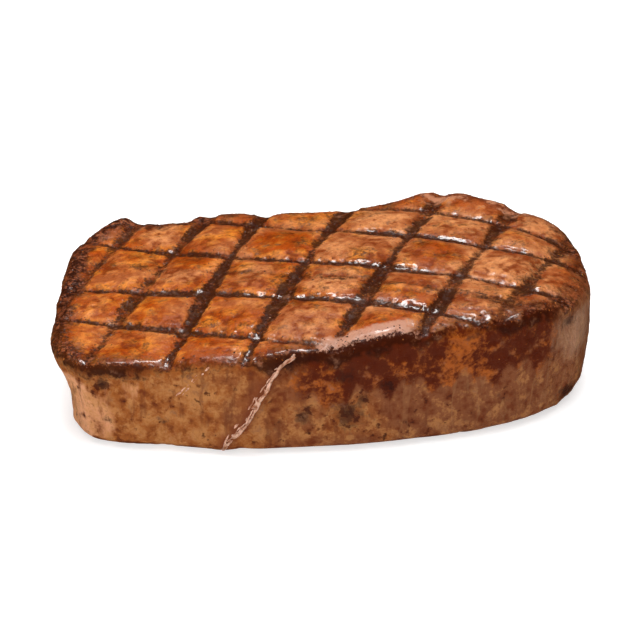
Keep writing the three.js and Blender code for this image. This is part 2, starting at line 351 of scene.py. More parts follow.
# %% [markdown]
# ## Pressing the bars in
#
# A bar burns a trough with a ragged, slightly raised crust along both sides. The rule is the
# same everywhere, which is what Geometry Nodes are good at: the tree measures how far each
# vertex is from the nearest guide line, frays that distance with noise, sinks the trough and
# lifts its lips. It also leaves two layers behind for the material: `char` in the trough, and
# `heat` around it.

# %% A tree that presses bars: how far is the nearest one?
press, given, pressed = new_tree(
    "press_bars", Bars="", Side=1.0, Depth=0.3, Lip=0.18, Fray=1.2, Fray_Size=2.0, Seed=1.0
)
place = add(press, "GeometryNodeInputPosition")
mm = add(press, "ShaderNodeVectorMath", [place, PER_MM], **TIMES)
scale = add(press, "ShaderNodeMath", [1.0, given["Fray_Size"]], operation="DIVIDE")
fray = add(press, "ShaderNodeTexNoise", [mm, given["Seed"], scale, 3.0], **FROM_SEED)
swing = add(press, "ShaderNodeVectorMath", [fray.outputs[1], (0.5, 0.5, 0.5)], **MINUS)
reach = add(press, "ShaderNodeMath", [given["Fray"], 2 * MM], **TIMES)
swing = add(press, "ShaderNodeVectorMath", {"Vector": swing, "Scale": reach}, operation="SCALE")
frayed = add(press, "ShaderNodeVectorMath", [place, swing], **PLUS)
flat = add(press, "ShaderNodeVectorMath", [frayed, (1, 1, 0)], **TIMES)
bars = add(press, "GeometryNodeObjectInfo", [given["Bars"]]).outputs["Geometry"]
look = {"Geometry": bars, "Sample Position": flat}
gap = add(press, "GeometryNodeProximity", look, target_element="EDGES").outputs["Distance"]
index = add(press, "GeometryNodeSampleNearest", look, domain="POINT")
read = {}
for name in ("pressure", "half_width"):
    field = add(press, "GeometryNodeInputNamedAttribute", {"Name": name}, **FLOAT)
    feeds = {"Geometry": bars, "Value": field, "Index": index}
    read[name] = add(press, "GeometryNodeSampleIndex", feeds, domain="POINT", **FLOAT)
outside = add(press, "ShaderNodeMath", [gap, read["half_width"]], **MINUS)
outside = add(press, "ShaderNodeMath", [outside, 1 / MM], **TIMES)
print("press_bars so far:", len(press.nodes), "nodes")

# %% Trough and lips, on the side that lay on the bars
normal = add(press, "GeometryNodeInputNormal")
level = add(press, "ShaderNodeSeparateXYZ", [normal])
level = add(press, "ShaderNodeMath", [level.outputs["Z"], given["Side"]], **TIMES)
level = add(press, "ShaderNodeMapRange", [level, 0.3, 0.75], **EASE)
force = add(press, "ShaderNodeMath", [read["pressure"], level], **TIMES)
inside = add(press, "ShaderNodeMapRange", [outside, 0.7, -0.9], **EASE)
char = add(press, "ShaderNodeMath", [inside, force], **TIMES)
lip = add(press, "ShaderNodeMath", [outside, 0.9], **MINUS)
lip = add(press, "ShaderNodeMath", [lip, lip], **TIMES)
lip = add(press, "ShaderNodeMath", [lip, -1.6], **TIMES)
lip = add(press, "ShaderNodeMath", [lip], operation="EXPONENT")
lip = add(press, "ShaderNodeMath", [lip, force], **TIMES)
sink = add(press, "ShaderNodeMath", [char, given["Depth"]], **TIMES)
rise = add(press, "ShaderNodeMath", [lip, given["Lip"]], **TIMES)
lift = add(press, "ShaderNodeMath", [rise, sink], **MINUS)
lift = add(press, "ShaderNodeMath", [lift, MM], **TIMES)
move = add(press, "ShaderNodeVectorMath", {"Vector": normal, "Scale": lift}, operation="SCALE")
# The meat beside a trough is scorched too, less and less over some 7 mm.
heat = add(press, "ShaderNodeMapRange", [outside, 7.0, 0.0], **EASE)
heat = add(press, "ShaderNodeMath", [heat, force], **TIMES)
kept = given["Geometry"]
for name, value in {"heat": heat, "char": char}.items():
    feeds = {"Geometry": kept, "Name": name, "Value": value}
    kept = add(press, "GeometryNodeStoreNamedAttribute", feeds, domain="POINT", **FLOAT)
kept = add(press, "GeometryNodeSetPosition", {"Geometry": kept, "Offset": move})
press.links.new(kept.outputs[0], pressed.inputs[0])
print("press_bars:", len(press.nodes), "nodes")

# %% Press the long marks, then the cross marks, then those of the underside
marks = []
# Each guide with its depth and fray in millimetres, its seed, and the side that lay on it.
for guide, deep, fraying, seed, side in (
    (long_bars, 0.1, 1.1, 1.0, 1.0),
    (cross_bars, 0.2, 1.5, 7.0, 1.0),
    (bars_below, 0.2, 1.0, 4.0, -1.0),
):
    values = dict(Bars=guide, Depth=deep, Fray=fraying, Seed=seed, Side=side)
    done = run_tree(press, meat, "meat", **values)
    set_aside(meat)
    meat = done
    marks.append((layer(meat, "heat"), layer(meat, "char")))
# Where two marks cross, the meat was burnt twice.
for i, name in enumerate(("heat", "char")):
    parts = np.sort([mark[i] for mark in marks], axis=0)
    layer(meat, name, parts[-1] + 0.35 * parts[-2])
set_aside(long_bars, cross_bars, bars_below)
print("charred share of the skin:", round(float((layer(meat, "char") > 0.5).mean()), 3))

# %% The pillows between the marks: each browned a little differently
SHADE_SEED = 11

points = numbers(meat.data.vertices, "co")
x, y, _ = (points / MM - (*CENTRING, 0)).T
along_bars = x * math.cos(BAR_TURN) + y * math.sin(BAR_TURN)
across_bars = y * math.cos(BAR_TURN) - x * math.sin(BAR_TURN)
row = sum(across_bars > strayed(level, stray, along_bars) for level, stray, _ in LONG_MARKS)
column = sum(along_bars > strayed(level, stray, across_bars) for level, stray, _ in CROSS_MARKS)
fields = (len(LONG_MARKS) + 1, len(CROSS_MARKS) + 1)
shades = np.random.default_rng(SHADE_SEED).random(fields) - 0.5
layer(meat, "pillow", shades[row, column] * (1 - eased(layer(meat, "heat"), 0.2, 0.9)))
print("pillows:", len(set(zip(row.tolist(), column.tolist()))))

# %% [markdown]
# ## What was left where
#
# Some facts about the surface are places, not patterns. Juice ran down the front wall and
# dried to a dark glaze, amber where it is thin. A film of fat set at the front edge, and its
# pale colour is partly a painted highlight. The edge burnt hardest at the narrow end, and a
# roll of fat lies along the rear. Three layers are painted light and shade: a line of painted
# shade under the front edge, painted light on the end wall of the narrow end, and a painted
# sheen on the upper wall of the thick end. They could be painted by hand, but a rule by place
# is easier to read and to change. So each becomes a layer between 0 and 1 with soft borders,
# and the trees and the material fray those borders later.

# %% Layers for glaze, film, burnt edge and fat
facing = numbers(meat.data.vertex_normals, "vector")
from_edge = layer(meat, "from_edge")
below = -from_edge
in_front = eased(-facing[:, 1], 0.1, 0.6)

drips = 16 + 2.0 * np.sin(0.45 * x) + 1.5 * np.sin(1.1 * x + 1)
glaze = in_front * eased(x, -16, 2) * (1 - eased(x, 55, 69))
glaze = glaze * (1 - eased(below, drips - 5, drips + 2))
layer(meat, "glaze", glaze)
# Where the dried juice is thin it is amber, and where it is thick it is nearly black.
THIN = (
    (-12, -1, 6, 8, 17, 19, 28, 31, 34, 44, 47, 66),
    (0.5, 0.8, 0.7, 0.2, 0.25, 0.6, 0.5, 0.4, 1.0, 0.9, 0.25, 0.35),
)
layer(meat, "thin_glaze", np.interp(x, *THIN))

# Fat film at the front edge: it smooths the grain, and its pale colour is partly painted highlight.
film = eased(x, -5, 1) * (1 - eased(x, 21, 28)) * eased(-y, 25, 30)
film = film * eased(from_edge, -2.5, -1.5) * (1 - eased(from_edge, 3.0 + 0.06 * x, 6.5))
layer(meat, "film", film)

# Round the top: the edge is black at the narrow end and behind it, and only brown in front.
PLACES = np.radians((-180, -150, -135, -100, -60, -20, 10, 40, 75, 110, 135, 180))
BURNT = (1.0, 0.8, 0.55, 0.6, 0.55, 0.75, 0.75, 0.7, 0.65, 0.7, 1.0, 1.0)
from_middle = np.arctan2(y, x)
layer(meat, "burnt_edge", np.interp(from_middle, PLACES, BURNT))
# Along the front wall, a line of painted shade under the edge: a dark hollow at the left, a thin
# line, then a wide dark band over the mahogany of the glaze.
SHADED = (
    (-74, -62, -58, -48, -44, -22, -12, 22, 30, 44, 48, 60, 66),
    (0.5, 0.8, 0.9, 0.9, 0.4, 0.4, 1.0, 1.0, 0.45, 0.45, 0.8, 0.8, 0.3),
)
layer(meat, "shade_line", np.interp(x, *SHADED))

roll = np.exp(-(((y + 0.45 * (x - 42) - 42) / 7.5) ** 2)) * eased(x, 8, 22) * eased(y, 20, 30)
layer(meat, "fat", np.clip(roll * 1.3, 0, 1) * eased(facing[:, 2], 0.0, 0.5))
# Painted light: the wall of the narrow end faces left and is painted lighter, as if lit from there.
lit_end = eased(-facing[:, 0], 0.05, 0.6) * eased(below, 2.5, 6) * (1 - eased(y, -25, 20))
layer(meat, "lit_end", lit_end)
# At the thick end, a painted sheen: the upper wall is painted lighter and greyer, in place of a
# soft reflection.
right_end = eased(x, 56, 70) * eased(-facing[:, 1], -0.2, 0.5)
layer(meat, "end_sheen", right_end * eased(below, 0.5, 4) * (1 - eased(below, 10, 22)))
print("glazed vertices:", int((glaze > 0.5).sum()), "; film:", int((film > 0.5).sum()))

# %% Layers for the seam of gristle and for the spots where the wall is scorched
# Along the front wall: sideways and height in millimetres, from the foot to the top.
SEAM = ((-26.8, 0.8), (-24.6, 5.6), (-21.0, 10.0), (-18.6, 14.3), (-16.6, 18.6), (-14.4, 22.6),
        (-12.0, 26.0), (-9.6, 28.2), (-6.6, 29.6))
SIDE_SEAM = ((-38.6, 16.8), (-35.6, 20.2), (-32.6, 23.6), (-29.2, 26.6))
# Sideways, height, radius, and how black.
SCORCHED = (
    (-9.2, 26.2, 2.0, 1.0), (-58.7, 18.8, 2.0, 1.0), (-52.0, 22.0, 2.4, 0.6), (-57.5, 8.2, 1.4, 0.6),
    (-42.3, 8.8, 1.4, 0.6), (-11.5, 9.5, 1.4, 0.7), (-5.4, 11.3, 1.9, 0.9), (6.0, 23.5, 3.0, 0.8),
    (7.0, 11.0, 4.4, 0.9), (17.8, 19.6, 2.6, 1.0), (11.0, 16.0, 2.2, 0.8), (48.5, 11.0, 1.8, 0.6),
    (67.7, 4.8, 3.0, 1.0), (67.0, 27.5, 2.4, 0.8),
)

across, up = points[:, 0] / MM, points[:, 2] / MM
seam_x, seam_z = np.array(SEAM).T
lean = np.interp(up, seam_z, seam_x)
on_seam = np.exp(-(((across - lean) / 2.6) ** 2)) * in_front * eased(up, 0, 2)
layer(meat, "seam", on_seam * (1 - eased(up, 28, 30)))
scorched = np.zeros(len(points))
for sideways, height, radius, black in SCORCHED:
    spot = np.exp(-(((across - sideways) ** 2 + (up - height) ** 2) / radius**2))
    scorched = np.maximum(scorched, black * spot * in_front)
layer(meat, "scorched", scorched)
print("scorched vertices:", int((scorched > 0.4).sum()))

# %% [markdown]
# ## The grain of the meat
#
# On the top the muscle fibres are cut across, so they show as small bundles, a few
# millimetres wide, that swell as they fry. On the wall they run up and down and show as
# streaks. Over both lies the crust: lumps, then grit. Noise gives all of these, each at the
# real size, and one tree adds them along the normals. Its layer `relief` tells the material
# what stands high, and the material paints high spots lighter and hollows darker: a painted
# highlight and a painted shade.

# %% A tree for the grain: three kinds of noise, each with its size
grain, given, grained = new_tree(
    "meat_grain",
    Bundle_Size=3.2,
    Bundle_Height=0.3,
    Lump_Size=7.0,
    Lump_Height=0.7,
    Grit_Size=1.5,
    Grit_Height=0.4,
    Streak_Size=3.0,
    Streak_Height=0.6,
    Drip_Size=2.0,
    Drip_Height=0.7,
    Pit_Depth=0.5,
    Seed=3.0,
)
place = add(grain, "GeometryNodeInputPosition")
mm = add(grain, "ShaderNodeVectorMath", [place, PER_MM], **TIMES)
upright = add(grain, "ShaderNodeVectorMath", [mm, (1.0, 1.0, 0.22)], **TIMES)
heights = {}
for name, where in (("Lump", mm), ("Grit", mm), ("Streak", upright)):
    scale = add(grain, "ShaderNodeMath", [1.0, given[f"{name}_Size"]], operation="DIVIDE")
    noise = add(grain, "ShaderNodeTexNoise", [where, given["Seed"], scale, 2.0], **FROM_SEED)
    noise = add(grain, "ShaderNodeMath", [noise, 0.5], **MINUS)
    heights[name] = add(grain, "ShaderNodeMath", [noise, given[f"{name}_Height"]], **TIMES)
scale = add(grain, "ShaderNodeMath", [1.0, given["Bundle_Size"]], operation="DIVIDE")
cells = add(
    grain,
    "ShaderNodeTexVoronoi",
    {"Vector": mm, "Scale": scale, "Smoothness": 0.6},
    feature="SMOOTH_F1",
)
bundle = add(grain, "ShaderNodeMath", [0.45, cells], **MINUS)
bundle = add(grain, "ShaderNodeMath", [bundle, given["Bundle_Height"]], **TIMES)
# Dried juice stands in beads, only where the glaze is.
scale = add(grain, "ShaderNodeMath", [1.0, given["Drip_Size"]], operation="DIVIDE")
feeds = {"Vector": mm, "Scale": scale, "Smoothness": 0.4}
drip = add(grain, "ShaderNodeTexVoronoi", feeds, feature="SMOOTH_F1")
drip = add(grain, "ShaderNodeMath", [0.5, drip], **MINUS)
drip = add(grain, "ShaderNodeMath", [drip, given["Drip_Height"]], **TIMES)
places = {}
for name in ("film", "glaze", "scorched"):
    places[name] = add(grain, "GeometryNodeInputNamedAttribute", {"Name": name}, **FLOAT)
drip = add(grain, "ShaderNodeMath", [drip, places["glaze"]], **TIMES)
print("meat_grain so far:", len(grain.nodes), "nodes")

# %% Bundles on the top, streaks on the wall, and a film that evens them out
normal = add(grain, "GeometryNodeInputNormal")
level = add(grain, "ShaderNodeSeparateXYZ", [normal])
on_top = add(grain, "ShaderNodeMapRange", [level.outputs["Z"], 0.3, 0.8], **EASE)
fibres = add(grain, "ShaderNodeMix", [on_top, heights["Streak"], bundle], **FLOAT)
total = add(grain, "ShaderNodeMath", [heights["Lump"], heights["Grit"]], **PLUS)
total = add(grain, "ShaderNodeMath", [total, fibres], **PLUS)
total = add(grain, "ShaderNodeMath", [total, drip], **PLUS)
bare = add(grain, "ShaderNodeMapRange", [places["film"], 0.0, 1.0, 1.0, 0.4])
total = add(grain, "ShaderNodeMath", [total, bare], **TIMES)
pit = add(grain, "ShaderNodeMath", [places["scorched"], given["Pit_Depth"]], **TIMES)
total = add(grain, "ShaderNodeMath", [total, pit], **MINUS)
# The foot stays flat, so that the steak rests without rocking.
height = add(grain, "ShaderNodeSeparateXYZ", [mm])
free = add(grain, "ShaderNodeMapRange", [height.outputs["Z"], 0.1, 2.5], **EASE)
total = add(grain, "ShaderNodeMath", [total, free], **TIMES)
lift = add(grain, "ShaderNodeMath", [total, MM], **TIMES)
move = add(grain, "ShaderNodeVectorMath", {"Vector": normal, "Scale": lift}, operation="SCALE")
feeds = {"Geometry": given["Geometry"], "Name": "relief", "Value": total}
kept = add(grain, "GeometryNodeStoreNamedAttribute", feeds, domain="POINT", **FLOAT)
kept = add(grain, "GeometryNodeSetPosition", {"Geometry": kept, "Offset": move})
grain.links.new(kept.outputs[0], grained.inputs[0])

grown = run_tree(grain, meat, "steak_meat")
set_aside(meat)
meat = grown
points = numbers(meat.data.vertices, "co")
points[:, 2] = np.maximum(points[:, 2], 0)
meat.data.vertices.foreach_set("co", points.ravel())
relief = layer(meat, "relief")
print("grain from", round(float(relief.min()), 2), "to", round(float(relief.max()), 2), "mm")

# %% [markdown]
# ## The crust as a material
#
# Seared beef is browned protein and sugar under a film of melted fat. The film gives it a
# wet gloss, and the browning gives a colour that goes from tan to orange to rust to black as
# the heat rises. So the material mixes those colours in that order, by layers that say where
# the heat was, and frays every border with noise, because no burn has a clean edge. Some of
# its colours are painted light and shade instead: high spots lighter and hollows darker, a
# shade line under the front edge, light on the narrow end, a sheen at the thick end, and the
# pale patch of the film.

# %% What the crust reads: layers, and noise at the sizes that meat shows
crust = bpy.data.materials.new("seared_beef_crust")
crust.use_nodes = True
tree = crust.node_tree
shader = tree.nodes["Principled BSDF"]
place = add(tree, "ShaderNodeTexCoord").outputs["Object"]
mm = add(tree, "ShaderNodeVectorMath", [place, PER_MM], **TIMES)
NAMES = (
    "from_edge", "heat", "char", "relief", "glaze", "film", "burnt_edge", "shade_line", "fat",
    "lit_end", "end_sheen", "seam", "scorched", "pillow", "thin_glaze",
)
own = {n: add(tree, "ShaderNodeAttribute", attribute_name=n).outputs["Fac"] for n in NAMES}
# Each noise has a size in millimetres, how much finer detail it carries, and a stretch.
SIZES = {
    "patch": (16.0, 2.0, (1, 1, 1)),  # where one part browned more than another
    "mottle": (4.2, 4.0, (1, 1, 1)),  # the blotches of a fried surface
    "spots": (2.2, 3.0, (1, 1, 1)),  # single bundles of fibres
    "pores": (0.8, 2.0, (1, 1, 1)),  # the crumb of the crust
    "streaks": (2.2, 3.0, (1, 1, 0.25)),  # fibres that run up the wall
    "veins": (6.0, 2.0, (1, 1, 0.15)),  # thin sheets of fat between the muscles
}
noises = {}
for name, (size, detail, stretch) in SIZES.items():
    where = add(tree, "ShaderNodeVectorMath", [mm, stretch], **TIMES)
    noises[name] = add(tree, "ShaderNodeTexNoise", [where, 1 / size, detail, 0.6]).outputs[0]
print("layers:", len(own), "noises:", len(noises))

# %% The sums that the borders are drawn from
split = add(tree, "ShaderNodeSeparateXYZ", [mm])
along, height = split.outputs["X"], split.outputs["Z"]
reads = {**own, **noises, "along": along, "height": height}
# What each sum starts from, and then what is added to it and how many times over.
SUMS = {
    "orange": ("patch", {"mottle": 0.5, "along": -0.0025, "pillow": -0.35}),
    "light_top": ("mottle", {"relief": 0.4, "heat": -0.25, "pillow": 0.22, "along": 0.0003}),
    "dark_top": ("spots", {"relief": 1.0, "heat": -0.12}),
    "fringe": ("heat", {"mottle": 1.2, "spots": 1.0}),
    "burn": ("char", {"spots": 1.4, "mottle": 1.6, "pores": 1.2, "patch": 1.2}),
    "rim": ("from_edge", {"mottle": -12.0, "pores": -8.0, "burnt_edge": -6.0}),
    "speckle": ("pores", {"spots": 0.8}),
    "set_fat": ("film", {"spots": 1.2, "pores": 1.0}),
    "warm_wall": ("patch", {"along": -0.008}),
    "ragged": ("mottle", {"streaks": 1.2}),
    "light_wall": ("mottle", {"pores": 0.4}),
    "red": ("mottle", {"spots": 0.8, "lit_end": 0.06}),
    "scorch": ("spots", {"relief": 0.4}),
    "black": ("scorched", {"spots": 2.0, "mottle": 2.0, "pores": 1.0}),
    "foot": ("height", {"mottle": 3.0}),
    "amber": ("mottle", {"spots": 0.6, "relief": 0.4, "thin_glaze": 0.3, "pores": 0.5}),
    "coated": ("glaze", {"mottle": 1.5, "pores": 0.6}),
    "under": ("from_edge", {"mottle": 12.0, "spots": 6.0, "shade_line": 5.0}),
    "shoulder": ("from_edge", {"mottle": 3.0, "pores": 4.0, "shade_line": -1.0}),
    "fatty": ("fat", {"spots": 1.2, "mottle": 1.2}),
    "drained": ("patch", {"film": -0.15, "mottle": 0.8}),
    "tiny": ("pores", {"spots": 1.2}),
}
sums = {}
for name, (first, added) in SUMS.items():
    total = reads[first]
    for what, times in added.items():
        total = add(tree, "ShaderNodeMath", [reads[what], times, total], **SHARE)
    sums[name] = total
print("sums:", len(sums), "; nodes so far:", len(tree.nodes))

# %% The top: each pillow is tan or orange in the middle and rust towards the marks
orange = add(tree, "ShaderNodeMapRange", [sums["orange"], 0.6, 0.95], **EASE)
tan = add(tree, "ShaderNodeMix", [orange, "8C4A26", "963E08"], **COLOUR)
bright = add(tree, "ShaderNodeMix", [orange, "C88452", "D6802E"], **COLOUR)
# High spots of the relief are painted lighter and hollows darker: painted highlight and shade.
light = add(tree, "ShaderNodeMapRange", [sums["light_top"], 0.37, 0.7, 0.0, 0.95], **EASE)
tan = add(tree, "ShaderNodeMix", [light, tan, bright.outputs[2]], **COLOUR)
dark = add(tree, "ShaderNodeMapRange", [sums["dark_top"], 0.52, 0.25, 0.0, 0.9], **EASE)
top = add(tree, "ShaderNodeMix", [dark, tan, "6A2A0C"], **COLOUR)

# %% The top: burnt fringes and charred marks
fringe = add(tree, "ShaderNodeMapRange", [sums["fringe"], 1.0, 1.85, 0.0, 0.95], **EASE)
top = add(tree, "ShaderNodeMix", [fringe, top, "5C2409"], **COLOUR)
burn = add(tree, "ShaderNodeMapRange", [sums["burn"], 2.65, 3.45, 0.0, 0.95], **EASE)
top = add(tree, "ShaderNodeMix", [burn, top, "2A1006"], **COLOUR)
rim = add(tree, "ShaderNodeMapRange", [sums["rim"], -8.0, -13.0, 0.0, 1.1], **EASE)
rim = add(tree, "ShaderNodeMath", [rim, own["burnt_edge"]], **TIMES)
speckle = add(tree, "ShaderNodeMapRange", [sums["speckle"], 0.85, 1.1], **EASE)
speckle = add(tree, "ShaderNodeMix", [speckle, "2C1107", "7A4026"], **COLOUR)
top = add(tree, "ShaderNodeMix", [rim, top, speckle.outputs[2]], **COLOUR)
# Fat that set at the front edge: cloudy, greyish pink, with the crust showing through. Its pale
# colour is partly a painted highlight, in place of the gloss of the wet film.
set_fat = add(tree, "ShaderNodeMapRange", [sums["set_fat"], 1.4, 2.1, 0.0, 0.8], **EASE)
top = add(tree, "ShaderNodeMix", [set_fat, top, "AE806A"], **COLOUR)
print("nodes so far:", len(tree.nodes))

# %% The wall: brown meat with blotches and streaks, warmer at the narrow end, with painted light there
warm = add(tree, "ShaderNodeMapRange", [sums["warm_wall"], 0.4, 0.75], **EASE)
wall = add(tree, "ShaderNodeMix", [warm, "804A2C", "985626"], **COLOUR)
# Painted light on the end wall of the narrow end: a lighter tan.
lit_end = add(tree, "ShaderNodeMath", [own["lit_end"], sums["ragged"]], **PLUS)
lit_end = add(tree, "ShaderNodeMapRange", [lit_end, 1.3, 2.1, 0.0, 0.9], **EASE)
wall = add(tree, "ShaderNodeMix", [lit_end, wall, "DA9A70"], **COLOUR)
light = add(tree, "ShaderNodeMath", [warm, 0.08, sums["light_wall"]], **SHARE)
light = add(tree, "ShaderNodeMapRange", [light, 0.68, 0.94, 0.0, 0.8], **EASE)
wall = add(tree, "ShaderNodeMix", [light, wall, "BA7E48"], **COLOUR)
red = add(tree, "ShaderNodeMapRange", [sums["red"], 0.93, 0.64, 0.0, 0.78], **EASE)
wall = add(tree, "ShaderNodeMix", [red, wall, "64280E"], **COLOUR)
streak = add(tree, "ShaderNodeMapRange", [noises["streaks"], 0.46, 0.3, 0.0, 0.5], **EASE)
wall = add(tree, "ShaderNodeMix", [streak, wall, "63301A"], **COLOUR)
vein = add(tree, "ShaderNodeMath", [noises["veins"], 0.5], **MINUS)
vein = add(tree, "ShaderNodeMath", [vein], operation="ABSOLUTE")
vein = add(tree, "ShaderNodeMapRange", [vein, 0.035, 0.0, 0.0, 0.2], **EASE)
thick_end = add(tree, "ShaderNodeMapRange", [along, 0.0, 30.0], **EASE)
vein = add(tree, "ShaderNodeMath", [vein, thick_end], **TIMES)
wall = add(tree, "ShaderNodeMix", [vein, wall, "A87A50"], **COLOUR)
# Painted shade: a darker band along the seam of gristle, in the crease between the muscles.
wall = add(tree, "ShaderNodeMix", [own["seam"], wall, "74391F"], **COLOUR)
print("nodes so far:", len(tree.nodes))

# %% The wall: scorched spots, painted darker in hollows, and a darker brown line along the foot
# Dark spots of scorched meat, more of them in hollows of the relief: partly painted shade.
scorch = add(tree, "ShaderNodeMapRange", [sums["scorch"], 0.38, 0.26, 0.0, 0.8], **EASE)
wall = add(tree, "ShaderNodeMix", [scorch, wall, "3F1C10"], **COLOUR)
black = add(tree, "ShaderNodeMapRange", [sums["black"], 2.7, 3.5, 0.0, 0.75], **EASE)
# Darker brown towards the foot of the wall.
foot = add(tree, "ShaderNodeMapRange", [sums["foot"], 3.6, 1.6, 0.0, 0.75], **EASE)
wall = add(tree, "ShaderNodeMix", [foot, wall, "5A2811"], **COLOUR)
print("nodes so far:", len(tree.nodes))

# %% The wall: dried juice, and a painted shade line under the edge
amber = add(tree, "ShaderNodeMapRange", [sums["amber"], 1.14, 1.5], **EASE)
amber = add(tree, "ShaderNodeMix", [amber, "521A06", "A6541A"], **COLOUR)
coated = add(tree, "ShaderNodeMapRange", [sums["coated"], 1.2, 1.75, 0.0, 0.92], **EASE)
wall = add(tree, "ShaderNodeMix", [coated, wall, amber], **COLOUR)
# Painted sheen: the upper wall of the thick end turns a lighter, greyer tone.
painted_sheen = add(tree, "ShaderNodeMath", [own["end_sheen"], sums["ragged"]], **PLUS)
painted_sheen = add(tree, "ShaderNodeMapRange", [painted_sheen, 1.35, 2.2, 0.0, 0.55], **EASE)
wall = add(tree, "ShaderNodeMix", [painted_sheen, wall, "AC8468"], **COLOUR)
wall = add(tree, "ShaderNodeMix", [black, wall, "2E1612"], **COLOUR)
# Painted shade: a dark band under the edge, reaching as far down as shade_line says.
under = add(tree, "ShaderNodeMapRange", [sums["under"], 9.0, 12.0, 0.0, 0.95], **EASE)
wall = add(tree, "ShaderNodeMix", [under, wall, "351206"], **COLOUR)
# The border between wall and top is serrated, as torn fibres are. Where shade_line is strong,
# the border rises, so that the painted shade starts right under the edge.
shoulder = add(tree, "ShaderNodeMapRange", [sums["shoulder"], 2.6, 3.6], **EASE)
colour = add(tree, "ShaderNodeMix", [shoulder, wall, top], **COLOUR)
fatty = add(tree, "ShaderNodeMapRange", [sums["fatty"], 1.3, 2.0, 0.0, 0.9], **EASE)
browned = add(tree, "ShaderNodeMapRange", [noises["mottle"], 0.44, 0.6], **EASE)
browned = add(tree, "ShaderNodeMix", [browned, "5C2812", "A87052"], **COLOUR)
colour = add(tree, "ShaderNodeMix", [fatty, colour, browned.outputs[2]], **COLOUR)
tree.links.new(colour.outputs[2], shader.inputs["Base Color"])
print("nodes so far:", len(tree.nodes))

# %% Wet gloss, a little light inside, and the crumb of the crust
rough = add(tree, "ShaderNodeMath", [noises["pores"], 0.2, 0.22], **SHARE)
tree.links.new(rough.outputs[0], shader.inputs["Roughness"])
# The fat film lies thick on the top and drained from the wall.
wet = add(tree, "ShaderNodeMapRange", [own["from_edge"], -3.0, 1.0, 0.1, 0.5], **EASE)
wet = add(tree, "ShaderNodeMath", [own["glaze"], 0.3, wet], **SHARE)
drained = add(tree, "ShaderNodeMapRange", [sums["drained"], 0.82, 1.0, 0.15, 1.0], **EASE)
wet = add(tree, "ShaderNodeMath", [wet, drained], **TIMES)
tree.links.new(wet.outputs[0], shader.inputs["Coat Weight"])
shader.inputs["IOR"].default_value = 1.45
shader.inputs["Specular IOR Level"].default_value = 0.1
shader.inputs["Coat Roughness"].default_value = 0.13
shader.inputs["Subsurface Weight"].default_value = 0.05
shader.inputs["Subsurface Radius"].default_value = (1.0, 0.4, 0.2)
shader.inputs["Subsurface Scale"].default_value = 1.2 * MM
feeds = {"Height": sums["tiny"], "Distance": 0.2 * MM, "Strength": 1.0}
bump = add(tree, "ShaderNodeBump", feeds)
tree.links.new(bump.outputs[0], shader.inputs["Normal"])

meat.data.materials.clear()
meat.data.materials.append(crust)
meat.data.polygons.foreach_set("use_smooth", np.ones(len(meat.data.polygons), bool))
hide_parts("steak")
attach(meat, "root")
print("crust nodes:", len(tree.nodes))

# %% [markdown]
# ## The seam of gristle
#
# A sheet of tough white tissue parts two muscles, and on the front wall it shows as a pale
# band that leans from the foot up to the edge. It shrinks less than meat in the heat, so it
# stands proud and splits into strands. The path is laid on the wall by casting a ray at each
# of its points. A tree then doubles the path into strands, spreads and waves them, and gives
# each a thin round skin. Seen together, they read as one fibrous band.

# %% The path of the seam, laid on the wall
def path_on_wall(name, line, sunk, step=0.5):
    """A line of edges on the front wall, from a few places given sideways and in height."""
    places = np.array(line)
    run = np.concatenate(([0], np.cumsum(np.linalg.norm(np.diff(places, axis=0), axis=1))))
    even = np.arange(0, run[-1], step)
    across = np.interp(even, run, places[:, 0])
    up = np.interp(even, run, places[:, 1])
    spots = []
    for sideways, height in zip(across, up):
        found, spot, *_ = meat.ray_cast(Vector((sideways, -FAR, height)) * MM, Vector((0, 1, 0)))
        if found:
            spots.append(spot + Vector((0, sunk, 0)) * MM)
    for _ in range(3):
        ends = [spots[0], *spots, spots[-1]]
        spots = [(a + 2 * b + c) / 4 for a, b, c in zip(ends, ends[1:], ends[2:])]
    mesh = bpy.data.meshes.new(name)
    mesh.from_pydata(spots, [(i, i + 1) for i in range(len(spots) - 1)], [])
    guide = bpy.data.objects.new(name, mesh)
    scene.collection.objects.link(guide)
    share = np.linspace(0, 1, len(spots))
    layer(guide, "girth", 0.4 + 0.6 * eased(share, 0, 0.25) * (1 - 0.6 * eased(share, 0.6, 1)))
    return guide


seam_path = path_on_wall("seam_path", SEAM, sunk=0.3)
side_path = path_on_wall("side_path", SIDE_SEAM, sunk=0.25)
print("seam points:", len(seam_path.data.vertices), "and", len(side_path.data.vertices))

# %% A tree that turns a path into strands
strands, given, stranded = new_tree(
    "gristle_strands", Strands=7, Width=1.0, Thickness=0.8, Waviness=1.0, Seed=1.0, Finish=crust
)
line = add(strands, "GeometryNodeMeshToCurve", [given["Geometry"]])
feeds = {"Geometry": line, "Amount": given["Strands"]}
many = add(strands, "GeometryNodeDuplicateElements", feeds, domain="SPLINE")
number = many.outputs["Duplicate Index"]
girth = add(strands, "GeometryNodeInputNamedAttribute", {"Name": "girth"}, **FLOAT)
place = add(strands, "GeometryNodeInputPosition")
mm = add(strands, "ShaderNodeVectorMath", [place, PER_MM], **TIMES)
phase = add(strands, "ShaderNodeMath", [number, 3.7, given["Seed"]], **SHARE)
waves = add(strands, "ShaderNodeTexNoise", [mm, phase, 0.3, 2.0], **FROM_SEED)
sway = add(strands, "ShaderNodeVectorMath", [waves.outputs[1], (0.5, 0.5, 0.5)], **MINUS)
reach = add(strands, "ShaderNodeMath", [given["Waviness"], 2 * MM], **TIMES)
sway = add(strands, "ShaderNodeVectorMath", {"Vector": sway, "Scale": reach}, operation="SCALE")
last = add(strands, "ShaderNodeMath", [given["Strands"], 1.0], **MINUS)
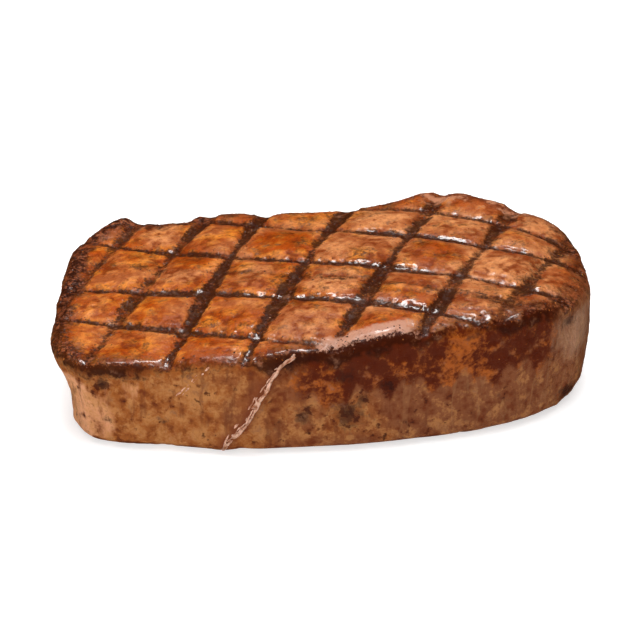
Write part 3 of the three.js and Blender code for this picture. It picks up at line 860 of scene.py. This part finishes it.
share = add(strands, "ShaderNodeMath", [number, last], operation="DIVIDE")
share = add(strands, "ShaderNodeMath", [share, 0.5], **MINUS)
share = add(strands, "ShaderNodeMath", [share, given["Width"]], **TIMES)
share = add(strands, "ShaderNodeMath", [share, girth], **TIMES)
share = add(strands, "ShaderNodeMath", [share, 2 * MM], **TIMES)
tangent = add(strands, "GeometryNodeInputTangent")
sideways = add(
    strands, "ShaderNodeVectorMath", [tangent, (0.0, -1.0, 0.0)], operation="CROSS_PRODUCT"
)
feeds = {"Vector": sideways, "Scale": share}
spread = add(strands, "ShaderNodeVectorMath", feeds, operation="SCALE")
shift = add(strands, "ShaderNodeVectorMath", [spread, sway], **PLUS)
many = add(strands, "GeometryNodeSetPosition", {"Geometry": many, "Offset": shift})
print("gristle_strands so far:", len(strands.nodes), "nodes")

# %% Skin, lumps and finish for the strands
swell = add(strands, "ShaderNodeTexNoise", [mm, phase, 0.6, 1.0], **FROM_SEED)
swell = add(strands, "ShaderNodeMapRange", [swell.outputs[0], 0.3, 0.7, 0.5, 1.4])
swell = add(strands, "ShaderNodeMath", [swell, girth], **TIMES)
many = add(strands, "GeometryNodeSetCurveRadius", {"Curve": many, "Radius": swell})
half = add(strands, "ShaderNodeMath", [given["Thickness"], 0.5 * MM], **TIMES)
ring = add(strands, "GeometryNodeCurvePrimitiveCircle", {"Resolution": 8, "Radius": half})
feeds = {"Curve": many, "Profile Curve": ring, "Fill Caps": True}
cords = add(strands, "GeometryNodeCurveToMesh", feeds)
lumps = add(strands, "ShaderNodeTexNoise", [mm, given["Seed"], 1.1, 2.0], **FROM_SEED)
lumps = add(strands, "ShaderNodeMath", [lumps.outputs[0], 0.5], **MINUS)
lumps = add(strands, "ShaderNodeMath", [lumps, 0.5 * MM], **TIMES)
normal = add(strands, "GeometryNodeInputNormal")
move = add(strands, "ShaderNodeVectorMath", {"Vector": normal, "Scale": lumps}, operation="SCALE")
cords = add(strands, "GeometryNodeSetPosition", {"Geometry": cords, "Offset": move})
cords = add(strands, "GeometryNodeRealizeInstances", [cords])
feeds = {"Geometry": cords, "Material": given["Finish"]}
cords = add(strands, "GeometryNodeSetMaterial", feeds)
strands.links.new(cords.outputs[0], stranded.inputs[0])
print("gristle_strands:", len(strands.nodes), "nodes")

# %% The finish of gristle: cloudy white collagen, stained by juice, wet on top
sinew = bpy.data.materials.new("cooked_gristle")
sinew.use_nodes = True
fibre = sinew.node_tree
gloss = fibre.nodes["Principled BSDF"]
place = add(fibre, "ShaderNodeTexCoord").outputs["Object"]
mm = add(fibre, "ShaderNodeVectorMath", [place, PER_MM], **TIMES)
stain = add(fibre, "ShaderNodeTexNoise", [mm, 0.8, 3.0]).outputs[0]
stain = add(fibre, "ShaderNodeMapRange", [stain, 0.34, 0.62], **EASE)
stain = add(fibre, "ShaderNodeMix", [stain, "A0603E", "E2B096"], **COLOUR)
fibre.links.new(stain.outputs[2], gloss.inputs["Base Color"])
gloss.inputs["Roughness"].default_value = 0.28
gloss.inputs["IOR"].default_value = 1.45
gloss.inputs["Coat Weight"].default_value = 0.4
gloss.inputs["Coat Roughness"].default_value = 0.12
gloss.inputs["Subsurface Weight"].default_value = 0.2
gloss.inputs["Subsurface Radius"].default_value = (1.0, 0.5, 0.3)
gloss.inputs["Subsurface Scale"].default_value = 0.8 * MM

SEAMS = {
    "gristle_seam": (seam_path, 7, 0.95, 0.6, 0.9, 2.0),
    "gristle_side_seam": (side_path, 3, 0.5, 0.5, 0.9, 5.0),
}
for name, (path, count, wide, thick, wavy, seed) in SEAMS.items():
    inputs = dict(Strands=count, Width=wide, Thickness=thick, Waviness=wavy)
    piece = run_tree(strands, path, name, **inputs, Seed=seed, Finish=sinew)
    set_aside(path)
    piece.data.polygons.foreach_set("use_smooth", np.ones(len(piece.data.polygons), bool))
    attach(piece, "root")
    print(name, len(piece.data.polygons), "faces")

# %% [markdown]
# ## Crumbs and beads
#
# What catches the eye on fried meat is small: crumbs of char that broke off the marks, and
# beads of fat that stand on the crust and flash in the light. There are thousands, all alike
# but for size, stretch and turn, so Geometry Nodes strew them: points fall on the faces where
# a layer called `where` allows it, and each point gets one small lump, partly sunk into the
# meat.

# %% A tree that strews small lumps
strew, given, strewn = new_tree(
    "strew",
    Density=1.0,
    Size=0.5,
    Spread=0.6,
    Flatness=0.7,
    Sink=0.3,
    Detail=1,
    Seed=1,
    Finish=crust,
)
field = add(strew, "GeometryNodeInputNamedAttribute", {"Name": "where"}, **FLOAT)
density = add(strew, "ShaderNodeMath", [field, given["Density"]], **TIMES)
density = add(strew, "ShaderNodeMath", [density, 1e6], **TIMES)  # from square mm to square m
feeds = {"Mesh": given["Geometry"], "Density": density, "Seed": given["Seed"]}
spots = add(strew, "GeometryNodeDistributePointsOnFaces", feeds)
lump = add(strew, "GeometryNodeMeshIcoSphere", [0.5 * MM, given["Detail"]])
smallest = add(strew, "ShaderNodeMath", [1.0, given["Spread"]], **MINUS)
feeds = {"Min": smallest, "Max": 1.0, "Seed": given["Seed"]}
grade = add(strew, "FunctionNodeRandomValue", feeds, **FLOAT)
grade = add(strew, "ShaderNodeMath", [grade, given["Size"]], **TIMES)
shape = add(strew, "ShaderNodeCombineXYZ", [1.0, 1.0, given["Flatness"]])
feeds = {"Min": (0.7, 0.7, 0.7), "Max": (1.3, 1.3, 1.1), "Seed": given["Seed"]}
uneven = add(strew, "FunctionNodeRandomValue", feeds, data_type="FLOAT_VECTOR")
shape = add(strew, "ShaderNodeVectorMath", [shape, uneven], **TIMES)
shape = add(strew, "ShaderNodeVectorMath", {"Vector": shape, "Scale": grade}, operation="SCALE")
feeds = {"Min": 0.0, "Max": 6.28, "Seed": given["Seed"]}  # a full turn, in radians
turn = add(strew, "FunctionNodeRandomValue", feeds, **FLOAT)
turn = add(strew, "ShaderNodeCombineXYZ", [0.0, 0.0, turn])
turned = add(
    strew, "FunctionNodeRotateRotation", [spots.outputs["Rotation"], turn], rotation_space="LOCAL"
)
deep = add(strew, "ShaderNodeMath", [grade, given["Sink"]], **TIMES)
deep = add(strew, "ShaderNodeMath", [deep, -0.5 * MM], **TIMES)
feeds = {"Vector": spots.outputs["Normal"], "Scale": deep}
deep = add(strew, "ShaderNodeVectorMath", feeds, operation="SCALE")
feeds = {"Geometry": spots.outputs["Points"], "Offset": deep}
spots = add(strew, "GeometryNodeSetPosition", feeds)
feeds = {"Points": spots, "Instance": lump, "Rotation": turned, "Scale": shape}
lumps = add(strew, "GeometryNodeInstanceOnPoints", feeds)
lumps = add(strew, "GeometryNodeRealizeInstances", [lumps])
lumps = add(strew, "GeometryNodeSetMaterial", {"Geometry": lumps, "Material": given["Finish"]})
strew.links.new(lumps.outputs[0], strewn.inputs[0])
print("strew:", len(strew.nodes), "nodes")

# %% The finishes of char and of fat
# Char is burnt protein, dry and crumbly: nearly black, with rusty flakes and a dull gleam.
soot = bpy.data.materials.new("charred_crumb")
soot.use_nodes = True
ash = soot.node_tree
crumb = ash.nodes["Principled BSDF"]
place = add(ash, "ShaderNodeTexCoord").outputs["Object"]
grit = add(ash, "ShaderNodeTexNoise", [place, 900.0, 2.0])
crisp = add(ash, "ShaderNodeMapRange", [grit.outputs[0], 0.35, 0.65], **EASE)
crisp = add(ash, "ShaderNodeMix", [crisp, "220D05", "602B10"], **COLOUR)
ash.links.new(crisp.outputs[2], crumb.inputs["Base Color"])
crumb.inputs["Roughness"].default_value = 0.35
crumb.inputs["Specular IOR Level"].default_value = 0.25

# Melted fat is clear and smooth: it shows the brown beneath it and throws a sharp glint.
tallow = bpy.data.materials.new("melted_beef_fat")
tallow.use_nodes = True
drop = tallow.node_tree
bead = drop.nodes["Principled BSDF"]
place = add(drop, "ShaderNodeTexCoord").outputs["Object"]
cloud = add(drop, "ShaderNodeTexNoise", [place, 350.0, 1.0])
cloud = add(drop, "ShaderNodeMapRange", [cloud.outputs[0], 0.4, 0.6], **EASE)
cloud = add(drop, "ShaderNodeMix", [cloud, "6E3414", "A8622E"], **COLOUR)
drop.links.new(cloud.outputs[2], bead.inputs["Base Color"])
bead.inputs["Roughness"].default_value = 0.12
bead.inputs["IOR"].default_value = 1.46
bead.inputs["Subsurface Weight"].default_value = 0.2
bead.inputs["Subsurface Radius"].default_value = (1.0, 0.6, 0.3)
bead.inputs["Subsurface Scale"].default_value = 0.8 * MM
print("finishes:", soot.name, tallow.name)

# %% Strew crumbs along the marks and the burnt edge, and beads of fat over the top
char = layer(meat, "char")
heat = layer(meat, "heat")
facing = numbers(meat.data.vertex_normals, "vector")
edge = layer(meat, "from_edge")
burnt_edge = layer(meat, "burnt_edge") * eased(edge, -1.5, 0.5) * (1 - eased(edge, 2.5, 5))
up = eased(facing[:, 2], 0.1, 0.6)
# Fat gathers behind the narrow end, on the roll of fat and where the seam meets the top.
x, y, z = points.T / MM
greasy = eased(-x, 20, 45) * eased(y, 0, 25) + layer(meat, "fat")
seam_top = 3 * np.exp(-(((x + 10) / 3) ** 2 + ((z - 26.5) / 3) ** 2))
on_wall = 0.2 * layer(meat, "glaze") + seam_top * eased(-facing[:, 1], 0.1, 0.6)
beaded = np.maximum(up * (0.25 + heat + burnt_edge + greasy), on_wall)
# Where, how many for each square millimetre, size, flatness, share sunk, detail and finish.
KINDS = {
    "char_crumbs": (up * np.maximum(char, burnt_edge), 0.30, 1.0, 0.8, 0.35, 1, soot),
    "char_grit": (up * np.maximum(heat, burnt_edge) ** 4, 0.35, 0.6, 0.8, 0.35, 1, soot),
    "fat_beads": (beaded, 0.09, 0.7, 0.6, 0.4, 2, tallow),
}
for number, (name, (where, density, size, flat, sunk, detail, finish)) in enumerate(KINDS.items()):
    layer(meat, "where", where)
    inputs = dict(Density=density, Size=size, Flatness=flat, Sink=sunk, Detail=detail)
    piece = run_tree(strew, meat, name, **inputs, Seed=number + 5, Finish=finish)
    smooth = np.full(len(piece.data.polygons), detail > 1)
    piece.data.polygons.foreach_set("use_smooth", smooth)
    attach(piece, "root")
    print(name, len(piece.data.polygons), "faces")

# %% [markdown]
# ## Table and light
#
# The steak stands on plain white. Wet meat is a mirror with many small slopes, so what it
# mirrors matters more than how much light falls on it: a large white dome would lay a grey
# veil over every colour. So the meat mirrors only two narrow strip lights, one above and
# behind, one overhead. They draw the bright lines on the near side of each pillow and the
# glints on the beads. A wide dome and a fill light in front give the even light, but can't be
# seen in a mirror, and neither can the table or the white sky.

# %% The floor, the sky and the lights
# Matt white board, lit from inside a little so that it stays as white as the sky behind it.
white = bpy.data.materials.new("white_table")
white.use_nodes = True
board = white.node_tree.nodes["Principled BSDF"]
board.inputs["Base Color"].default_value = (0.5, 0.5, 0.5, 1)
board.inputs["Roughness"].default_value = 0.9
board.inputs["Emission Color"].default_value = (1, 1, 1, 1)
board.inputs["Emission Strength"].default_value = 0.65
OUT = 6  # metres from the middle to each side of the board
corners = [(-OUT, -OUT, 0), (OUT, -OUT, 0), (OUT, OUT, 0), (-OUT, OUT, 0)]
floor_mesh = bpy.data.meshes.new("table")
floor_mesh.from_pydata(corners, [], [(0, 1, 2, 3)])
floor_mesh.materials.append(white)
table = bpy.data.objects.new("table", floor_mesh)
table.location.z = -0.02 * MM
table.visible_glossy = False
scene.collection.objects.link(table)

world = bpy.data.worlds.new("studio")
world.use_nodes = True
sky = world.node_tree.nodes["Background"]
sky.inputs["Color"].default_value = (1, 1, 1, 1)
sky.inputs["Strength"].default_value = 0.9
world.cycles_visibility.diffuse = False
world.cycles_visibility.glossy = False
scene.world = world


def soft_light(name, spot, aim, size, power, depth=None, mirrored=True):
    """A soft box that hangs at spot and points at aim, in metres. With a depth it is a strip."""
    box = bpy.data.lights.new(name, "AREA")
    box.shape = "RECTANGLE"
    box.size = size
    box.size_y = depth or size
    box.energy = power
    holder = bpy.data.objects.new(name, box)
    holder.visible_glossy = mirrored
    holder.location = spot
    holder.rotation_euler = (Vector(aim) - Vector(spot)).to_track_quat("-Z", "Y").to_euler()
    scene.collection.objects.link(holder)


MIDDLE = (0, 0, 0.02)
soft_light("key", (-0.12, 0.42, 1.05), MIDDLE, size=0.5, power=8, depth=0.17)
soft_light("rim", (0.05, -0.1, 1.2), MIDDLE, size=0.4, power=3, depth=0.17)
soft_light("dome", (0.1, -0.1, 1.3), MIDDLE, size=1.2, power=18, mirrored=False)
soft_light("fill", (-0.45, -1.0, 0.6), MIDDLE, size=0.7, power=5, mirrored=False)
scene.view_settings.view_transform = "Standard"
